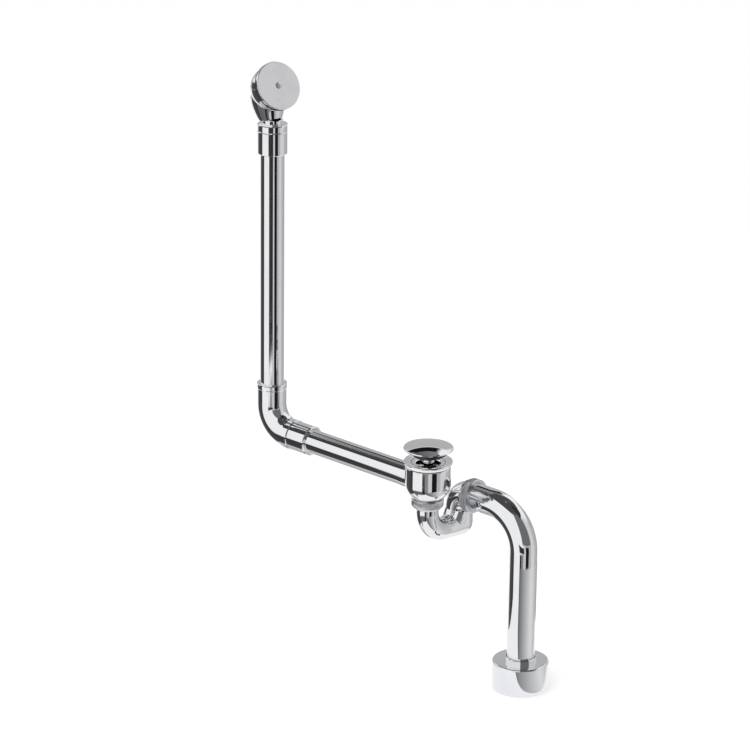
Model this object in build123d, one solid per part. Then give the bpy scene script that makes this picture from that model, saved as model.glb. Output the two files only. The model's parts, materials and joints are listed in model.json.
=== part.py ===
from build123d import *
import math
import os

# Bath waste and overflow: tall overflow pipe, link pipe, click plug waste, cast trap, bent outlet
# and floor cover. Millimetres. The origin is on the waste axis in the plane where the bath floor
# is clamped, +Z up. The overflow stands on the -X side and the outlet arm runs towards +X.

# Layout
overflow_offset = 328.0
link_drop = 28.0
plate_height = 529.2
plate_reach = 16.3
plate_tilt = 26.3
head_swivel = 11.3
head_rise = 63.2
outlet_reach = 130.2
floor_drop = 349.0

# Tubes
small_tube_r = 19.0
small_tube_wall = 1.5
large_tube_r = 21.5
large_tube_wall = 1.5
outlet_bend_r = 61.3
outlet_end_lift = 4.0

# Clearances
socket_slip = 0.15
running_gap = 0.05
free_gap = 0.3

# Seals at the bath floor
body_seal_t = 1.5
body_seal_r = 34.5
flange_seal_t = 4.0
flange_seal_r = 35.8

# Waste body
body_r = 35.0
body_wall = 3.0
body_ring_depth = 11.0
body_straight_depth = 30.0
body_bowl_depth = 53.5
body_neck_r = 21.6
body_thread_r = 20.5
body_bore_r = 16.5
boss_r = 19.7
boss_stand = 9.0
spigot_len = 16.0
spigot_bore_r = 14.5
spigot_seal_section = 1.9
spigot_seal_inset = 8.0

# Waste flange
flange_r = 37.3
flange_rim_t = 2.2
flange_lip = 1.6
dish_drop = 3.6
well_r = 18.8
well_edge = 1.2
tail_r = 25.0
tail_len = 16.0
spider_t = 4.0
spider_arm_w = 5.0
spider_hub_r = 9.0

# Click plug
guide_thread_r = 6.0
guide_thread_len = 9.0
guide_foot_r = 8.6
guide_foot_t = 1.5
guide_barrel_r = 7.0
guide_bore_r = 5.2
guide_floor_t = 2.0
plug_travel = 11.0
stem_r = 10.0
stem_reach = 3.5
stem_roof_t = 2.5
stem_collar_r = 12.5
stem_collar_t = 1.4
stem_stud_r = 4.0
stem_stud_len = 4.5
plug_seal_r = 23.6
plug_seal_t = 4.4
plug_seal_lip = 1.6
plug_seat_gap = 0.5
carrier_r = 21.5
carrier_t = 2.0
cap_hub_r = 12.0
cap_r = 38.1
cap_stand = 4.85
cap_rise = 6.2
cap_t = 2.0
spring_wire_r = 0.55
spring_coil_r = 4.2
spring_turns = 7

# Trap inlet joint
inlet_nut_r = 24.6
inlet_nut_len = 15.0
inlet_nut_foot_r = 20.8
inlet_nut_taper = 4.2
inlet_nut_gap = 0.8
inlet_nut_lip = 2.5
inlet_washer_t = 3.0
trap_collar_t = 2.5
trap_collar_r = 19.9
trap_inlet_r = 17.2
trap_wall = 3.0
trap_inlet_bend = 38.0
trap_inlet_drop = 7.3
trap_floor_run = 35.0
trap_corner_lift = 1.0
trap_riser_rise = 25.5
trap_throat_lean = 14.0
trap_throat_step = 0.3
trap_throat_inset = 0.4
trap_corner_ease = 0.15

# Trap riser, elbow and outlet joint
trap_riser_r = 21.5
trap_elbow_bend = 24.0
trap_elbow_run = 5.0
outlet_thread_r = 24.4
outlet_thread_len = 11.0
outlet_socket_depth = 8.5
outlet_nut_r = 26.6
outlet_nut_len = 11.6
outlet_nut_lip = 2.2
outlet_washer_t = 2.4

# Pipe couplings
coupling_collar_len = 10.5
upper_collar_r = 23.3
lower_collar_r = 24.2
coupling_thread_r = 21.8
coupling_nut_r = 23.3
coupling_nut_len = 36.0
coupling_nut_lip = 2.5
coupling_seal_t = 6.5
coupling_socket_start = 4.0

# Lower elbow
elbow_r = 23.1
elbow_bore_r = 16.8
elbow_bend = 41.6
elbow_socket_stand = 3.4
elbow_socket_depth = 30.5
elbow_bead_r = 23.7
elbow_bead_h = 8.5
socket_seal_section = 2.4

# Overflow head
head_neck_r = 16.2
head_neck_h = 7.6
head_bore_r = 13.2
head_wall = 3.0
head_mouth_r = 34.5
head_bowl_start = 9.0
head_neck_rings = (
    (0.0, 7.2, 18.6),
    (0.22, 9.6, 23.0),
    (0.45, 10.8, 26.4),
    (0.64, 10.6, 27.6),
    (0.85, 11.2, 23.6),
)
crossbar_w = 8.0
crossbar_t = 5.0
crossbar_boss_r = 6.5
crossbar_boss_len = 9.0
screw_hole_r = 2.5
overflow_seal_t = 3.0
overflow_seal_w = 9.0

# Overflow face plate
plate_r = 37.4
plate_depth = 5.0
plate_skin = 2.0
plate_rim_w = 1.8
plate_edge_r = 1.0
inlet_notch_h = 2.6
inlet_notch_angle = 96.0
screw_head_r = 5.2
screw_head_t = 2.4
screw_crown = 0.7
screw_shank_r = 2.9
screw_slot_w = 1.3
screw_slot_len = 6.0
screw_slot_depth = 1.5

# Floor cover
cover_r = 43.3
cover_foot_r = 42.6
cover_h = 45.0
cover_wall = 1.5
cover_edge_r = 2.5
cover_neck_r = 23.9
cover_neck_h = 6.5
cover_gland_len = 8.0
cover_gland_r = 26.5
cover_ring_section = 2.4

# Places that follow from the sizes above
link_z = -link_drop
overflow_collar_top = plate_height - head_rise
floor_z = -floor_drop
flange_bottom = flange_seal_t
flange_top = flange_bottom + flange_rim_t
dish_bottom = flange_top - dish_drop
tail_bottom = -tail_len
spider_top = tail_bottom + spider_t
guide_foot_top = spider_top + guide_foot_t
well_mouth_r = well_r + well_edge
dish_fall = dish_drop / (flange_r - flange_lip - well_mouth_r)
plug_seat_z = dish_bottom + (plug_seal_r - plug_seal_lip - well_mouth_r) * dish_fall
plug_seal_lift = plug_seat_z + plug_seat_gap + plug_travel
plug_seal_top = plug_seal_lift + plug_seal_t
stem_top = plug_seal_top + stem_reach
guide_barrel_top = stem_top - stem_roof_t - plug_travel - free_gap
carrier_top = plug_seal_top + carrier_t
cap_rim_z = carrier_top + cap_stand
body_top = -body_seal_t
boss_reach = body_r + boss_stand
small_bore_r = small_tube_r - small_tube_wall
large_bore_r = large_tube_r - large_tube_wall
small_socket_r = small_tube_r + socket_slip
large_socket_r = large_tube_r + socket_slip
inlet_nut_drop = body_bowl_depth + inlet_nut_gap
inlet_nut_foot = -inlet_nut_drop - inlet_nut_len
trap_collar_foot = inlet_nut_foot + inlet_nut_lip
trap_collar_top = trap_collar_foot + trap_collar_t
body_foot = trap_collar_top + inlet_washer_t
trap_bend_top = inlet_nut_foot - trap_inlet_drop
trap_drop = trap_inlet_drop + trap_inlet_bend - inlet_nut_foot
trap_floor_z = -trap_drop
trap_corner_z = trap_floor_z + trap_corner_lift
riser_top = trap_corner_z + trap_riser_rise
arm_drop = trap_drop - trap_corner_lift - trap_riser_rise - trap_elbow_bend
arm_z = -arm_drop
riser_offset = trap_inlet_bend + trap_floor_run
elbow_socket_rise = elbow_bend + elbow_socket_stand + elbow_socket_depth
elbow_top = link_z + elbow_socket_rise
elbow_face_x = -overflow_offset + elbow_bend
collar_foot_z = overflow_collar_top - coupling_collar_len
coupling_thread_len = coupling_nut_len - coupling_nut_lip - coupling_seal_t
cover_top = floor_z + cover_h
outlet_face_x = trap_elbow_bend + trap_elbow_run
outlet_nut_x = outlet_face_x + outlet_washer_t + outlet_nut_lip - outlet_nut_len


def outline(start, *steps):
    """Closed face from straight steps (x, y) and arc steps (mid x, mid y, end x, end y)."""
    edges = []
    here = start
    for step in steps:
        if len(step) == 2:
            edges.append(Line(here, step))
            here = step
        else:
            edges.append(ThreePointArc(here, step[:2], step[2:]))
            here = step[2:]
    edges.append(Line(here, start))
    return make_face(edges)


def lathe(start, *steps):
    """Solid of revolution about Z from a half profile in radius and height."""
    return revolve(Plane.XZ * outline(start, *steps), axis=Axis.Z)


def belly(r_1, z_1, r_2, z_2):
    """Arc step that leaves the first point upright and ends at the second."""
    radius = ((r_1 - r_2) ** 2 + (z_1 - z_2) ** 2) / (2 * (r_1 - r_2))
    turn = math.atan2(abs(z_1 - z_2), radius - (r_1 - r_2)) / 2
    side = math.copysign(1.0, z_2 - z_1)
    return (r_1 - radius * (1 - math.cos(turn)), z_1 + side * radius * math.sin(turn), r_2, z_2)


def crown(edge_r, edge_z, apex_z):
    """Arc step from the edge of a dome to its apex on the axis."""
    rise = apex_z - edge_z
    radius = (edge_r ** 2 + rise ** 2) / (2 * rise)
    mid_r = edge_r / 2
    return (mid_r, apex_z - radius + math.sqrt(radius ** 2 - mid_r ** 2), 0, apex_z)


def sphere_at(r, edge_r, edge_z, apex_z):
    """Height of a dome's surface at one radius."""
    rise = apex_z - edge_z
    radius = (edge_r ** 2 + rise ** 2) / (2 * rise)
    return apex_z - radius + math.sqrt(radius ** 2 - r ** 2)


def rod(radius, low, high):
    """Upright cylinder between two heights."""
    return Pos(0, 0, low) * extrude(Circle(radius), high - low)


def tube(outer, inner, low, high):
    """Upright straight ring between two heights."""
    return Pos(0, 0, low) * extrude(Circle(outer) - Circle(inner), high - low)


def washer(outer, inner, low, high, edge):
    """Flat ring with a small chamfer on its outer edges."""
    return lathe(
        (inner, low),
        (outer - edge, low),
        (outer, low + edge),
        (outer, high - edge),
        (outer - edge, high),
        (inner, high),
    )


def round_ring(inner, section, height):
    """Round seal ring with the given hole radius and section diameter."""
    centre = Pos(inner + section / 2, height) * Circle(section / 2)
    return revolve(Plane.XZ * centre, axis=Axis.Z)


def swept(path, radius):
    """Round bar along a path of straight runs and tangent arcs."""
    return sweep(Plane(path @ 0, z_dir=path % 0) * Circle(radius), path=path)


def to_link(part, x):
    """Turn an upright piece to lie on the link pipe axis, its own zero at x."""
    return Pos(x, 0, link_z) * Rot(0, 90, 0) * part


def to_arm(part, x):
    """Turn an upright piece to lie on the outlet arm axis, its own zero at x."""
    return Pos(x, riser_offset, arm_z) * Rot(0, 90, 0) * part


def to_overflow(part, z):
    """Hang an upright piece upside down on the overflow axis, its own zero at z."""
    return Pos(-overflow_offset, 0, z) * Rot(180, 0, 0) * part


# Seals either side of the bath floor
def make_body_seal():
    return washer(body_seal_r, tail_r + free_gap, body_top, 0, 0.3)


def make_flange_seal():
    return washer(flange_seal_r, tail_r + free_gap, 0, flange_seal_t, 0.6)


# Cup shaped waste body with a side boss for the link pipe and a threaded foot
def make_waste_body():
    inner_r = body_r - body_wall
    shell = lathe(
        (0, body_top),
        (body_r - 0.8, body_top),
        (body_r, body_top - 0.8),
        (body_r, -body_straight_depth),
        belly(body_r, -body_straight_depth, body_neck_r, -body_bowl_depth),
        (body_thread_r, -body_bowl_depth),
        (body_thread_r, body_foot),
        (0, body_foot),
    )
    boss = to_link(rod(boss_r, 0, boss_reach - body_r * 0.5), -boss_reach)
    spigot = to_link(rod(small_bore_r - socket_slip, 0, spigot_len), -boss_reach - spigot_len)
    cavity = lathe(
        (0, -body_ring_depth),
        (tail_r, -body_ring_depth),
        (inner_r, -body_ring_depth - inner_r + tail_r),
        (inner_r, -body_straight_depth),
        belly(inner_r, -body_straight_depth, body_bore_r, -body_bowl_depth + 1.0),
        (body_bore_r, body_foot),
        (0, body_foot),
    )
    neck = rod(tail_r, -body_ring_depth, body_top)
    passage = to_link(rod(spigot_bore_r, 0, boss_reach + spigot_len), -boss_reach - spigot_len)
    groove_x = -boss_reach - spigot_seal_inset - spigot_seal_section / 2
    groove = to_link(
        tube(small_tube_r, small_bore_r - spigot_seal_section, -0.2, spigot_seal_section + 0.2),
        groove_x,
    )
    return shell + boss + spigot - groove - cavity - neck - passage


def make_link_pipe_seal():
    ring = round_ring(small_bore_r - spigot_seal_section, spigot_seal_section, spigot_seal_section / 2)
    return to_link(ring, -boss_reach - spigot_seal_inset - spigot_seal_section / 2)


# Dished flange with a threaded tail and a four armed spider across its foot
def make_waste_flange():
    rim_in = flange_r - flange_lip
    top = lathe(
        (well_r, tail_bottom),
        (tail_r, tail_bottom),
        (tail_r, flange_bottom),
        (flange_r - 0.5, flange_bottom),
        (flange_r, flange_bottom + 0.5),
        (flange_r, flange_top - 0.9),
        (flange_r - 0.26, flange_top - 0.26, flange_r - 0.9, flange_top),
        (rim_in, flange_top),
        (well_mouth_r, dish_bottom),
        (well_r + well_edge * 0.3, dish_bottom - well_edge * 0.3),
        (well_r, dish_bottom - well_edge),
    )
    spider = rod(spider_hub_r, tail_bottom, spider_top)
    for turn in (45, 135):
        arm = Pos(0, 0, tail_bottom + spider_t / 2) * Box(2 * well_r + 1.0, spider_arm_w, spider_t)
        spider += Rot(0, 0, turn) * arm
    return top + spider - rod(guide_thread_r, tail_bottom - 1.0, spider_top + 1.0)


# Click cartridge fixed in the spider, and its spring
def make_plug_guide():
    thread_foot = spider_top - guide_thread_len
    body = lathe(
        (0, thread_foot),
        (guide_thread_r - 0.6, thread_foot),
        (guide_thread_r, thread_foot + 0.6),
        (guide_thread_r, spider_top),
        (guide_foot_r, spider_top),
        (guide_foot_r, guide_foot_top),
        (guide_barrel_r, guide_foot_top),
        (guide_barrel_r, guide_barrel_top - 0.5),
        (guide_barrel_r - 0.5, guide_barrel_top),
        (0, guide_barrel_top),
    )
    return body - rod(guide_bore_r, guide_foot_top + guide_floor_t, guide_barrel_top + 1.0)


def make_plug_spring():
    low = guide_foot_top + guide_floor_t + spring_wire_r
    high = stem_top - stem_roof_t - spring_wire_r
    coil = Helix(pitch=(high - low) / spring_turns, height=high - low, radius=spring_coil_r)
    wire = sweep(Plane(coil @ 0, z_dir=coil % 0) * RegularPolygon(spring_wire_r, 6), path=coil)
    return Pos(0, 0, low) * wire


# Plug: stem sleeve sliding on the barrel, lip seal and domed cap
def make_plug_stem():
    foot = guide_foot_top + plug_travel + free_gap
    collar_foot = plug_seal_lift - stem_collar_t
    body = lathe(
        (0, foot),
        (stem_r - 0.5, foot),
        (stem_r, foot + 0.5),
        (stem_r, collar_foot),
        (stem_collar_r, collar_foot),
        (stem_collar_r, plug_seal_lift),
        (stem_r, plug_seal_lift),
        (stem_r, stem_top),
        (stem_stud_r, stem_top),
        (stem_stud_r, stem_top + stem_stud_len),
        (0, stem_top + stem_stud_len),
    )
    return body - rod(guide_barrel_r + running_gap, foot - 1.0, stem_top - stem_roof_t)


def make_plug_seal():
    return lathe(
        (stem_r, plug_seal_lift),
        (plug_seal_r - plug_seal_lip, plug_seal_lift),
        (plug_seal_r - 0.4, plug_seal_lift + 0.5, plug_seal_r, plug_seal_lift + plug_seal_lip),
        (plug_seal_r - 0.6, plug_seal_top),
        (stem_r, plug_seal_top),
    )


def make_plug_cap():
    apex = cap_rim_z + cap_t + cap_rise
    under_r = cap_r - 1.4
    top_r = cap_r - 0.7
    stud_top = stem_top + stem_stud_len
    hub_z = sphere_at(cap_hub_r, under_r, cap_rim_z, apex - cap_t)
    half_r = (cap_hub_r + under_r) / 2
    return lathe(
        (stem_r, plug_seal_top),
        (carrier_r - 0.5, plug_seal_top),
        (carrier_r, plug_seal_top + 0.5),
        (carrier_r, carrier_top),
        (cap_hub_r, carrier_top),
        (cap_hub_r, hub_z),
        (half_r, sphere_at(half_r, under_r, cap_rim_z, apex - cap_t), under_r, cap_rim_z),
        (cap_r - 0.35, cap_rim_z),
        (cap_r, cap_rim_z + 0.35),
        (cap_r, cap_rim_z + cap_t - 0.9),
        (top_r, cap_rim_z + cap_t),
        crown(top_r, cap_rim_z + cap_t, apex),
        (0, stud_top),
        (stem_stud_r, stud_top),
        (stem_stud_r, stem_top),
        (stem_r, stem_top),
    )


# Ring nut and washer where the trap hangs from the waste body
def make_trap_inlet_nut():
    top = -inlet_nut_drop
    return lathe(
        (body_thread_r, top),
        (inlet_nut_r - 0.7, top),
        (inlet_nut_r, top - 0.7),
        (inlet_nut_r, inlet_nut_foot + inlet_nut_taper),
        (inlet_nut_foot_r, inlet_nut_foot),
        (trap_inlet_r + free_gap, inlet_nut_foot),
        (trap_inlet_r + free_gap, inlet_nut_foot + inlet_nut_lip),
        (body_thread_r, inlet_nut_foot + inlet_nut_lip),
    )


def make_trap_inlet_washer():
    return washer(body_thread_r - 0.2, body_bore_r, trap_collar_top, body_foot, 0.3)


# Cast trap: the inlet leg bends into a widening run, and the riser above its rounded corner
# leans towards the leg before it turns tightly into the outlet
def trap_run(radius, far_r):
    """Quarter bend below the inlet leg and the widening run to the corner."""
    hinge = Axis((0, trap_inlet_bend, trap_bend_top), (1, 0, 0))
    bend = revolve(Pos(0, 0, trap_bend_top) * Circle(radius), axis=hinge, revolution_arc=90)
    near = Plane((0, trap_inlet_bend, trap_floor_z), x_dir=(1, 0, 0), z_dir=(0, 1, 0))
    far = Plane((0, riser_offset, trap_corner_z), x_dir=(1, 0, 0), z_dir=(0, 1, 0))
    return bend, loft([near * Circle(radius), far * Circle(far_r)])


def trap_riser(radius, leg_r):
    """Rounded corner and upright riser with the throat that leans towards the inlet leg."""
    corner = Pos(0, riser_offset, trap_corner_z) * Sphere(radius - trap_corner_ease)
    upright = Pos(0, riser_offset, 0) * rod(radius, trap_corner_z, riser_top)
    throat_r = radius - (radius - leg_r) * trap_throat_lean / trap_floor_run - trap_throat_step
    low = Pos(0, riser_offset - trap_throat_lean, trap_corner_z) * Circle(throat_r)
    high = Pos(0, riser_offset, riser_top) * Circle(radius - trap_throat_inset)
    return corner + upright + loft([low, high])


def trap_turn(radius):
    """Quarter turn from the top of the riser into the outlet arm."""
    ring = Pos(0, riser_offset, riser_top) * Circle(radius)
    hinge = Axis((trap_elbow_bend, riser_offset, riser_top), (0, 1, 0))
    return revolve(ring, axis=hinge, revolution_arc=90)


def trap_passage(leg, arm_end, socket, shrink):
    """The whole way through the trap, with its walls moved in by shrink."""
    leg_r = trap_inlet_r - shrink
    radius = trap_riser_r - shrink
    bend, run = trap_run(leg_r, radius)
    arm = trap_turn(radius) + to_arm(rod(radius, -trap_elbow_run - 0.5, arm_end), outlet_face_x)
    return (leg + bend + run) + trap_riser(radius, leg_r) + (arm + socket)


def make_trap_body():
    leg = rod(trap_inlet_r, trap_bend_top, trap_collar_foot)
    leg += washer(trap_collar_r, 0, trap_collar_foot, trap_collar_top, 0.2)
    hollow_leg = rod(trap_inlet_r - trap_wall, trap_bend_top, trap_collar_top + 1.0)
    thread = to_arm(rod(outlet_thread_r, -outlet_thread_len, 0), outlet_face_x)
    hollow_socket = to_arm(rod(large_socket_r, -outlet_socket_depth, 1.0), outlet_face_x)
    outer = trap_passage(leg, 0, thread, 0)
    return outer - trap_passage(hollow_leg, 1.0, hollow_socket, trap_wall)


# Ring nut and washer on the outlet arm
def make_trap_outlet_nut():
    ring = lathe(
        (outlet_thread_r, 0),
        (outlet_nut_r - 0.7, 0),
        (outlet_nut_r, 0.7),
        (outlet_nut_r, outlet_nut_len - 0.8),
        (outlet_nut_r - 0.8, outlet_nut_len),
        (large_tube_r + free_gap, outlet_nut_len),
        (large_tube_r + free_gap, outlet_nut_len - outlet_nut_lip),
        (outlet_thread_r, outlet_nut_len - outlet_nut_lip),
    )
    return to_arm(ring, outlet_nut_x)


def make_trap_outlet_washer():
    return to_arm(washer(outlet_thread_r - 0.2, large_tube_r, 0, outlet_washer_t, 0.4), outlet_face_x)


# Outlet pipe with one swept bend down to the floor
def make_outlet_pipe():
    start_x = outlet_face_x - outlet_socket_depth + free_gap
    end_z = floor_z + outlet_end_lift
    path = FilletPolyline(
        (start_x, riser_offset, arm_z),
        (outlet_reach, riser_offset, arm_z),
        (outlet_reach, riser_offset, end_z),
        radius=outlet_bend_r,
    )
    return swept(path, large_tube_r) - swept(path, large_bore_r)


# Floor cover cup that slides on the outlet pipe, held by a round ring in its gland
def make_floor_cover():
    neck_top = cover_top + cover_neck_h
    hole_r = large_tube_r + 2 * free_gap
    ring_out = large_tube_r + running_gap + cover_ring_section
    gland_foot = cover_top - cover_wall - cover_gland_len
    ring_low = gland_foot + (cover_gland_len - cover_ring_section) / 2
    ring_high = ring_low + cover_ring_section
    shell = lathe(
        (cover_foot_r - cover_wall, floor_z),
        (cover_foot_r - 0.4, floor_z),
        (cover_foot_r, floor_z + 0.4),
        (cover_r, cover_top - cover_edge_r),
        (cover_r - cover_edge_r * 0.293, cover_top - cover_edge_r * 0.293, cover_r - cover_edge_r, cover_top),
        (cover_neck_r, cover_top),
        (cover_neck_r, neck_top - 0.6),
        (cover_neck_r - 0.6, neck_top),
        (hole_r, neck_top),
        (hole_r, ring_high + 0.1),
        (ring_out, ring_high + 0.1),
        (ring_out, ring_low - 0.1),
        (hole_r, ring_low - 0.1),
        (hole_r, gland_foot),
        (cover_gland_r, gland_foot),
        (cover_gland_r, cover_top - cover_wall),
        (cover_r - cover_wall - 1.0, cover_top - cover_wall),
        (cover_r - cover_wall, cover_top - cover_wall - 1.0),
    )
    return Pos(outlet_reach, riser_offset, 0) * shell


def make_cover_ring():
    gland_mid = cover_top - cover_wall - cover_gland_len / 2
    ring = round_ring(large_tube_r + running_gap, cover_ring_section, gland_mid)
    return Pos(outlet_reach, riser_offset, 0) * ring


# Coupling end of a casting: collar, then the male thread that takes the nut
def coupling_end(collar_r):
    thread_end = coupling_collar_len + coupling_thread_len
    return lathe(
        (0, 0),
        (collar_r - 0.8, 0),
        (collar_r, 0.8),
        (collar_r, coupling_collar_len - 0.8),
        (collar_r - 0.8, coupling_collar_len),
        (coupling_thread_r, coupling_collar_len),
        (coupling_thread_r, thread_end - 1.0),
        (coupling_thread_r - 1.0, thread_end),
        (0, thread_end),
    )


def coupling_socket():
    thread_end = coupling_collar_len + coupling_thread_len
    return rod(small_socket_r, coupling_socket_start, thread_end + 1.0)


def coupling_nut():
    low = coupling_collar_len + free_gap
    high = coupling_collar_len + coupling_nut_len
    lip_r = small_tube_r + free_gap
    return lathe(
        (coupling_thread_r, low),
        (coupling_nut_r - 0.8, low),
        (coupling_nut_r, low + 0.8),
        (coupling_nut_r, high - 1.2),
        (coupling_nut_r - 1.2, high),
        (lip_r, high),
        (lip_r, high - coupling_nut_lip),
        (coupling_thread_r, high - coupling_nut_lip),
    )


def coupling_seal():
    high = coupling_collar_len + coupling_nut_len - coupling_nut_lip
    low = coupling_collar_len + coupling_thread_len
    return lathe(
        (small_tube_r, low),
        (coupling_thread_r - 1.2, low),
        (coupling_thread_r - 0.1, low + 1.1),
        (coupling_thread_r - 0.1, high),
        (small_tube_r, high),
    )


# Cast lower elbow with a beaded socket above and the coupling end beside it
def make_lower_elbow():
    path = FilletPolyline(
        (-overflow_offset, 0, elbow_top),
        (-overflow_offset, 0, link_z),
        (elbow_face_x + 1.0, 0, link_z),
        radius=elbow_bend,
    )
    bead = Pos(-overflow_offset, 0, elbow_top) * lathe(
        (0, -elbow_bead_h),
        (elbow_r, -elbow_bead_h),
        (elbow_bead_r, -elbow_bead_h + 1.2),
        (elbow_bead_r, -1.0),
        (elbow_bead_r - 1.0, 0),
        (0, 0),
    )
    outer = swept(path, elbow_r) + bead + to_link(coupling_end(lower_collar_r), elbow_face_x)
    socket = Pos(-overflow_offset, 0, elbow_top) * rod(small_socket_r, -elbow_socket_depth, 1.0)
    groove_mid = -elbow_bead_h / 2
    groove = Pos(-overflow_offset, 0, elbow_top) * rod(
        small_tube_r + socket_seal_section,
        groove_mid - socket_seal_section / 2 - 0.1,
        groove_mid + socket_seal_section / 2 + 0.1,
    )
    bore = swept(path, elbow_bore_r) + to_link(rod(elbow_bore_r, 0, coupling_collar_len), elbow_face_x)
    return outer - bore - socket - groove - to_link(coupling_socket(), elbow_face_x)


def make_elbow_socket_seal():
    ring = round_ring(small_tube_r, socket_seal_section, elbow_top - elbow_bead_h / 2)
    return Pos(-overflow_offset, 0, 0) * ring


# Straight pipes
def make_overflow_pipe():
    foot = elbow_top - elbow_socket_depth + free_gap
    head = overflow_collar_top - coupling_socket_start - free_gap
    return Pos(-overflow_offset, 0, 0) * tube(small_tube_r, small_bore_r, foot, head)


def make_link_pipe():
    start = elbow_face_x + coupling_socket_start + free_gap
    return to_link(tube(small_tube_r, small_bore_r, 0, -boss_reach - start), start)


# Overflow head: a cast mouth that turns up from the coupling neck and leans back
def face_plane(set_back):
    """Plane square to the face plate, the given distance behind its front."""
    tilt = math.radians(plate_tilt)
    x = plate_reach - set_back * math.cos(tilt)
    z = plate_height - set_back * math.sin(tilt)
    return Plane((x, 0, z), x_dir=(0, 1, 0), z_dir=(math.cos(tilt), 0, math.sin(tilt)))


def to_head(part, set_back):
    """Place an upright piece square to the mouth, the given distance behind the plate's front."""
    return face_plane(set_back).location * part


def swivelled(part):
    """Swivel the finished head piece on the overflow axis."""
    return Pos(-overflow_offset, 0, 0) * Rot(0, 0, -head_swivel) * part


mouth_set_back = plate_depth + overflow_seal_t
head_neck_top = overflow_collar_top + head_neck_h


def head_form(shrink):
    """Bowl behind the mouth run together with the neck that rises to it off centre."""
    radius = head_mouth_r - shrink
    slant = math.sqrt(0.5)
    bowl = lathe(
        (0, -head_bowl_start - radius),
        (radius * slant, -head_bowl_start - radius * slant, radius, -head_bowl_start),
        (radius, 0),
        (0, 0),
    )
    floor = head_neck_top - 2.0 + shrink
    bowl_z = plate_height - (mouth_set_back + head_bowl_start) * math.sin(math.radians(plate_tilt))
    rise = bowl_z - floor
    rings = []
    for share, lean, size in head_neck_rings:
        rings.append(Pos(-lean, 0, floor + share * rise) * Circle(size - shrink))
    return to_head(bowl, mouth_set_back) + loft(rings)


def make_overflow_elbow():
    neck = lathe(
        (0, overflow_collar_top),
        (head_neck_r, overflow_collar_top),
        (head_neck_r, head_neck_top - 0.6),
        (head_neck_r - 0.6, head_neck_top),
        (0, head_neck_top),
    )
    turned_down = Pos(0, 0, overflow_collar_top) * Rot(180, 0, 0)
    outer = head_form(0) + neck + turned_down * coupling_end(upper_collar_r)
    cavity = head_form(head_wall) + to_head(rod(head_mouth_r - head_wall, -1.0, 2.0), mouth_set_back)
    shaft = rod(head_bore_r, collar_foot_z, head_neck_top + head_wall)
    ahead = to_head(rod(2 * head_mouth_r, 0, 3 * head_mouth_r), mouth_set_back)
    body = outer - cavity - shaft - ahead - turned_down * coupling_socket()
    bar = Pos(0, 0, -crossbar_t / 2 - 2.0) * Box(2 * head_mouth_r - head_wall, crossbar_w, crossbar_t)
    bar += rod(crossbar_boss_r, -crossbar_boss_len, 0)
    bar -= rod(screw_hole_r, -crossbar_boss_len - 1.0, 1.0)
    return swivelled(body + to_head(bar, mouth_set_back))


def make_overflow_seal():
    ring = washer(plate_r, plate_r - overflow_seal_w, 0, overflow_seal_t, 0.4)
    return swivelled(to_head(ring, mouth_set_back))


# Dished face plate with a water inlet notch in the lower part of its rim, and its screw
def make_face_plate():
    skin_back = plate_depth - plate_skin
    edge_mid = plate_edge_r * 0.293
    cup = lathe(
        (plate_r - plate_rim_w, 0),
        (plate_r, 0),
        (plate_r, plate_depth - plate_edge_r),
        (plate_r - edge_mid, plate_depth - edge_mid, plate_r - plate_edge_r, plate_depth),
        (0, plate_depth),
        (0, skin_back),
        (plate_r - plate_rim_w, skin_back),
    )
    boss = rod(crossbar_boss_r, -overflow_seal_t, skin_back + 0.5)
    half = math.radians(inlet_notch_angle / 2)
    far = 2 * plate_r
    low = -far * math.cos(half)
    wedge = outline((0, 0), (far * math.sin(half), low), (-far * math.sin(half), low))
    notch = extrude(wedge - Circle(plate_r - plate_rim_w - 3.0), inlet_notch_h)
    shank = rod(screw_shank_r, -overflow_seal_t - 1.0, plate_depth)
    sink = lathe(
        (0, plate_depth - screw_head_t),
        (screw_shank_r, plate_depth - screw_head_t),
        (screw_head_r, plate_depth),
        (0, plate_depth),
    )
    return swivelled(to_head(cup + boss - notch - shank - sink, plate_depth))


def make_face_screw():
    body = lathe(
        (0, -overflow_seal_t - crossbar_boss_len),
        (screw_hole_r, -overflow_seal_t - crossbar_boss_len),
        (screw_hole_r, -overflow_seal_t),
        (screw_shank_r, -overflow_seal_t),
        (screw_shank_r, plate_depth - screw_head_t),
        (screw_head_r, plate_depth),
        crown(screw_head_r, plate_depth, plate_depth + screw_crown),
    )
    slots = Box(screw_slot_len, screw_slot_w, screw_slot_depth * 2)
    slots += Box(screw_slot_w, screw_slot_len, screw_slot_depth * 2)
    slots = Pos(0, 0, plate_depth + screw_crown) * Rot(0, 0, 20) * slots
    return swivelled(to_head(body - slots, plate_depth))


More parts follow.
